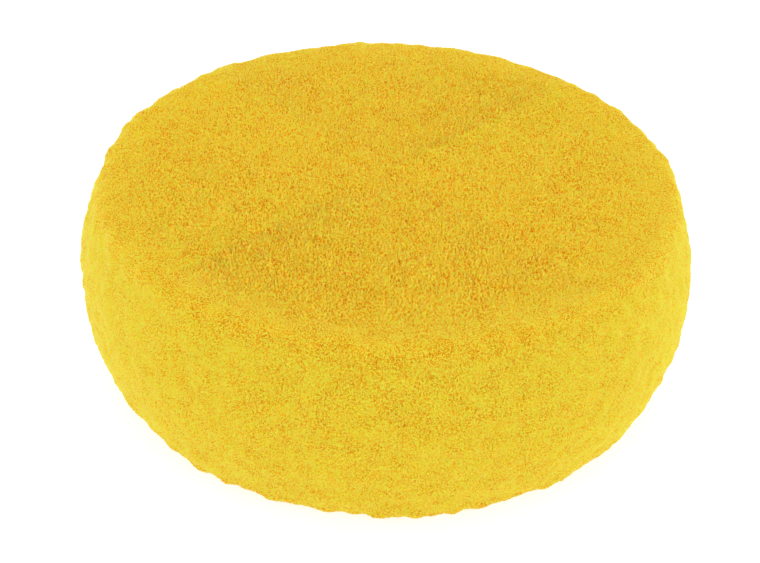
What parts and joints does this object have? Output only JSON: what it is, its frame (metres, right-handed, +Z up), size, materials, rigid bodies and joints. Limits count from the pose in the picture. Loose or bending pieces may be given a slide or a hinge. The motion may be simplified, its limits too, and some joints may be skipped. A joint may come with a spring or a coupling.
{
  "type": "round foam sponge",
  "caption": "Round sponge of fine open-cell foam: a thick one-piece disc with flat faces, softly rounded rims and a gently bulging side.",
  "frame": {"origin": "centre of the underside, on the surface that the sponge rests on", "axes": "+Z up along the disc's axis, through its thickness"},
  "size_m": [0.076, 0.076, 0.025],
  "materials": {
    "yellow_foam": "matte"
  },
  "bodies": {
    "root": {"sponge_disc": "yellow_foam"}
  },
  "joints": []
}
